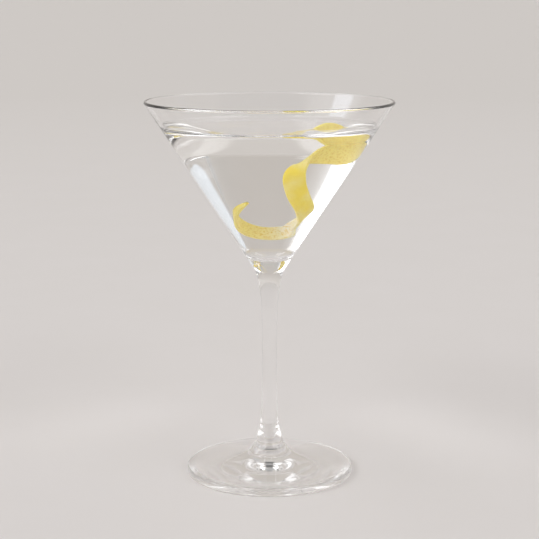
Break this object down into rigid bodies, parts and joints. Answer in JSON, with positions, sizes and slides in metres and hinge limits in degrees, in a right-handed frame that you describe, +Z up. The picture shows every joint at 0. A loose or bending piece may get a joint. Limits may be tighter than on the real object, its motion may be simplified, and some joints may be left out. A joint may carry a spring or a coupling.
{
  "type": "martini cocktail",
  "caption": "Martini cocktail in its stemmed cone glass, filled to just below the rim with a clear drink, with a curled strip of lemon peel sunk in it",
  "frame": {"origin": "Centre of the foot, on the surface that the glass stands on.", "axes": "+Z is up along the glass's axis. -Y faces the side the object was seen from, and +X is that view's right."},
  "size_m": [0.1054, 0.1054, 0.162],
  "materials": {
    "clear_glass": "clear, fire-polished",
    "clear_drink": "clear liquid, still",
    "lemon_peel": "satin, finely pored, wet"
  },
  "bodies": {
    "root": {"glass": "clear_glass", "drink": "clear_drink", "lemon_twist": "lemon_peel"}
  },
  "joints": []
}
